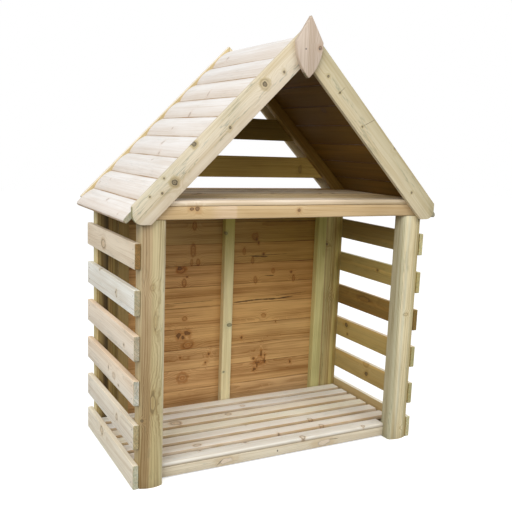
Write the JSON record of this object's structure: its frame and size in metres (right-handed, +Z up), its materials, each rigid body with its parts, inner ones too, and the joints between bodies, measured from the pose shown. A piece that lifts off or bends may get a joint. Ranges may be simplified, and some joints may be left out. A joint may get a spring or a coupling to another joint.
{
  "type": "log store",
  "caption": "Garden log store with slatted sides, a boarded back, a batten floor, a shelf and a lapped-board pitched roof with a leaf-shaped finial.",
  "frame": {"origin": "on the ground, under the middle of the whole store", "axes": "+X to the right seen from the open front, +Y to the boarded back, +Z up"},
  "size_m": [1.3922, 0.726, 1.762],
  "materials": {
    "post_wood": "matt, pressure-treated softwood",
    "side_slat_wood": "matt, pressure-treated softwood",
    "wall_wood": "matt, pressure-treated softwood",
    "batten_wood": "matt, pressure-treated softwood",
    "floor_wood": "matt, pressure-treated softwood",
    "shelf_wood": "matt, pressure-treated softwood",
    "roof_wood": "matt, pressure-treated softwood",
    "barge_wood": "matt, pressure-treated softwood",
    "gable_wood": "matt, pressure-treated softwood",
    "finial_wood": "matt, pressure-treated softwood"
  },
  "bodies": {
    "root": {"back_batten_left": "batten_wood", "back_batten_middle": "batten_wood", "back_batten_right": "batten_wood", "back_wall": "wall_wood", "finial": "finial_wood", "floor_bearer_left": "floor_wood", "floor_bearer_middle": "floor_wood", "floor_bearer_right": "floor_wood", "floor_fascia": "floor_wood", "floor_slats": "floor_wood", "front_barge_left": "barge_wood", "front_barge_right": "barge_wood", "front_post_left": "post_wood", "front_post_right": "post_wood", "gable_slat_lower": "gable_wood", "gable_slat_upper": "gable_wood", "left_slat_1": "side_slat_wood", "left_slat_2": "side_slat_wood", "left_slat_3": "side_slat_wood", "left_slat_4": "side_slat_wood", "left_slat_5": "side_slat_wood", "left_slat_6": "side_slat_wood", "rear_barge_left": "barge_wood", "rear_barge_right": "barge_wood", "rear_post_left": "post_wood", "rear_post_right": "post_wood", "rear_rafter_left": "gable_wood", "rear_rafter_right": "gable_wood", "right_slat_1": "side_slat_wood", "right_slat_2": "side_slat_wood", "right_slat_3": "side_slat_wood", "right_slat_4": "side_slat_wood", "right_slat_5": "side_slat_wood", "right_slat_6": "side_slat_wood", "roof_boards_left": "roof_wood", "roof_boards_right": "roof_wood", "shelf_board_1": "shelf_wood", "shelf_board_2": "shelf_wood", "shelf_board_3": "shelf_wood", "shelf_board_4": "shelf_wood", "shelf_board_5": "shelf_wood", "shelf_board_6": "shelf_wood", "shelf_rail_front": "shelf_wood", "shelf_rail_left": "shelf_wood", "shelf_rail_right": "shelf_wood"}
  },
  "joints": []
}
